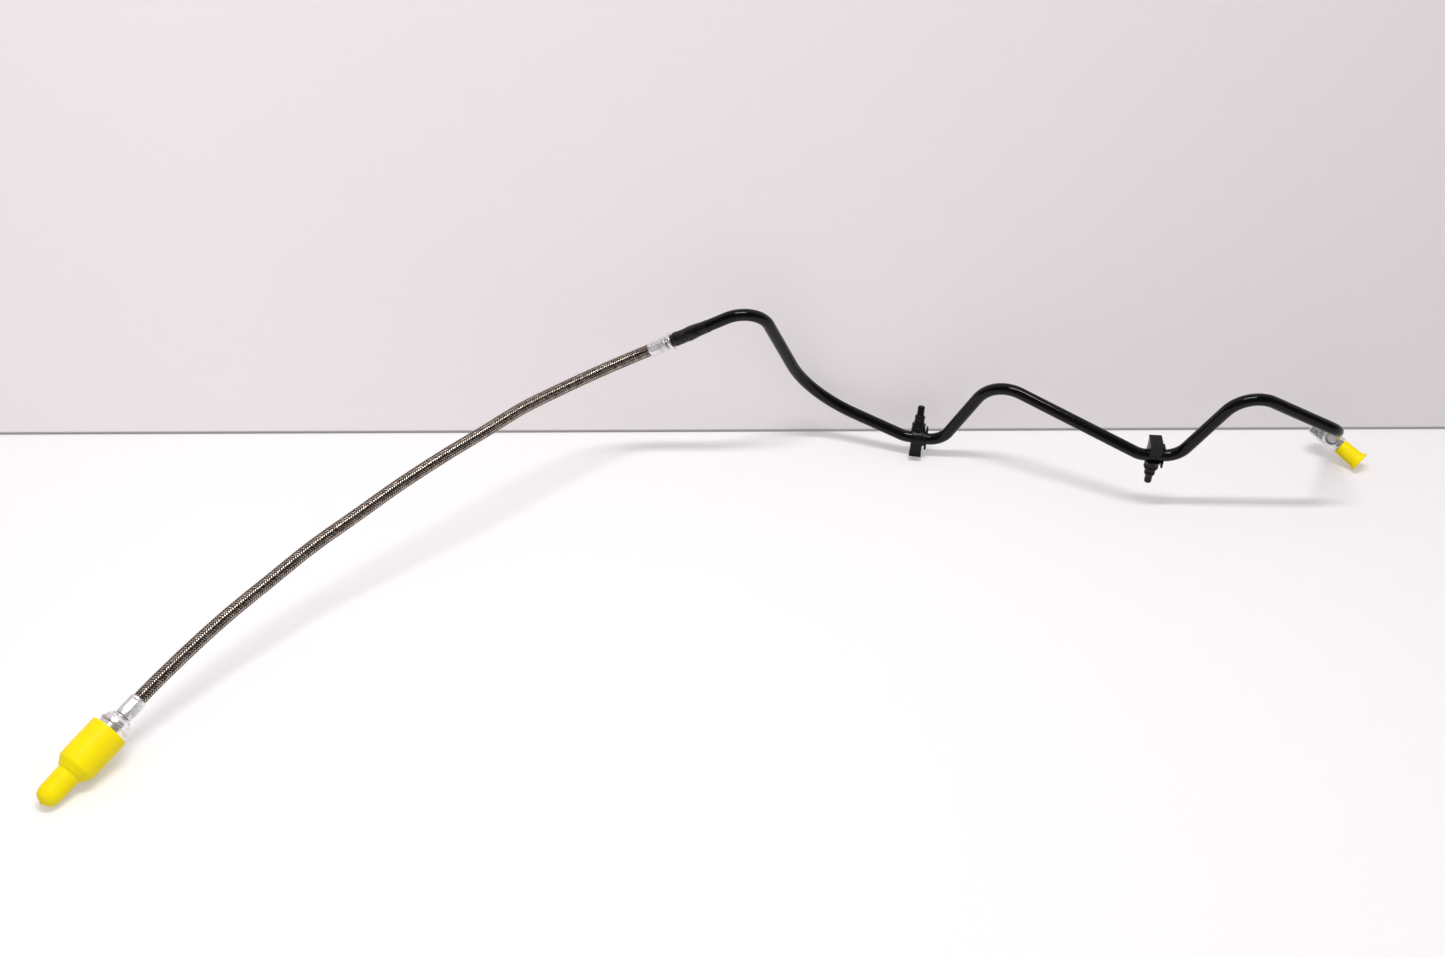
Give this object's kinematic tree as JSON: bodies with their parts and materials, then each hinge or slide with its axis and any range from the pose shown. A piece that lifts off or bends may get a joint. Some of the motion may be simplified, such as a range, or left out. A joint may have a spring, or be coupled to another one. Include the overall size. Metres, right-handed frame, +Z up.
{
  "type": "hydraulic clutch line",
  "caption": "Clutch line with a braided flexible hose, a bent steel pipe with push-in clips, a quick coupling with a check valve and an elbow spigot fitting, both capped.",
  "frame": {"origin": "bottom centre of the box round the steel pipe with its joint, clips and elbow fitting, on the surface that the line lies on; the flexible hose and the coupling on it are left out of that box", "axes": "+X along the pipe from the hose joint towards the elbow fitting, +Y away from the viewer, +Z up"},
  "size_m": [0.836, 0.3601, 0.1301],
  "materials": {
    "pipe_paint": "glossy black coating on steel",
    "shrink_sleeve": "matt black heat-shrink sleeve",
    "zinc": "bright zinc plate",
    "braid": "fine wire braid under a smoked clear cover",
    "seal_rubber": "black seal rubber",
    "steel": "plain machined steel",
    "yellow_vinyl": "soft moulded yellow vinyl",
    "nylon": "satin black nylon"
  },
  "bodies": {
    "line": {"steel_pipe": "pipe_paint", "heat_shrink": "shrink_sleeve", "pipe_insert": "zinc", "pipe_ferrule": "zinc", "braided_hose": "braid", "coupling_ferrule": "zinc", "coupling_insert": "zinc", "insert_seal": "seal_rubber", "coupling_body": "zinc", "spring_seat": "steel", "valve_spring": "steel", "probe_seal": "seal_rubber", "master_fitting": "zinc", "fitting_plug": "steel"},
    "valve": {"valve_poppet": "steel", "poppet_seal": "seal_rubber"},
    "coupling_cover": {"slave_cap": "yellow_vinyl"},
    "spigot_cover": {"master_cap": "yellow_vinyl"},
    "clip_low": {"lower_clip": "nylon"},
    "clip_high": {"upper_clip": "nylon"}
  },
  "joints": [
    {"name": "valve_push", "type": "slide", "parent": "line", "child": "valve", "axis": [0.55, 0.7884, 0.2756], "range_m": [0, 0.003], "stiffness_N_per_m": 300, "springref_m": -0.005, "deforming": ["valve_spring"]},
    {"name": "slave_cap_pull", "type": "slide", "parent": "line", "child": "coupling_cover", "axis": [-0.55, -0.7884, -0.2756], "range_m": [0, 0.05]},
    {"name": "master_cap_pull", "type": "slide", "parent": "line", "child": "spigot_cover", "axis": [0.7042, -0.5959, -0.3861], "range_m": [0, 0.014]},
    {"name": "lower_clip_turn", "type": "hinge", "parent": "line", "child": "clip_low", "pos_m": [-0.06341, 0.02868, 0.01408], "axis": [0.9874, -0.1471, -0.0581], "range_deg": [-60, 60]},
    {"name": "upper_clip_turn", "type": "hinge", "parent": "line", "child": "clip_high", "pos_m": [0.08768, -0.03318, 0.04369], "axis": [0.9978, -0.0646, -0.0121], "range_deg": [-60, 60]}
  ]
}
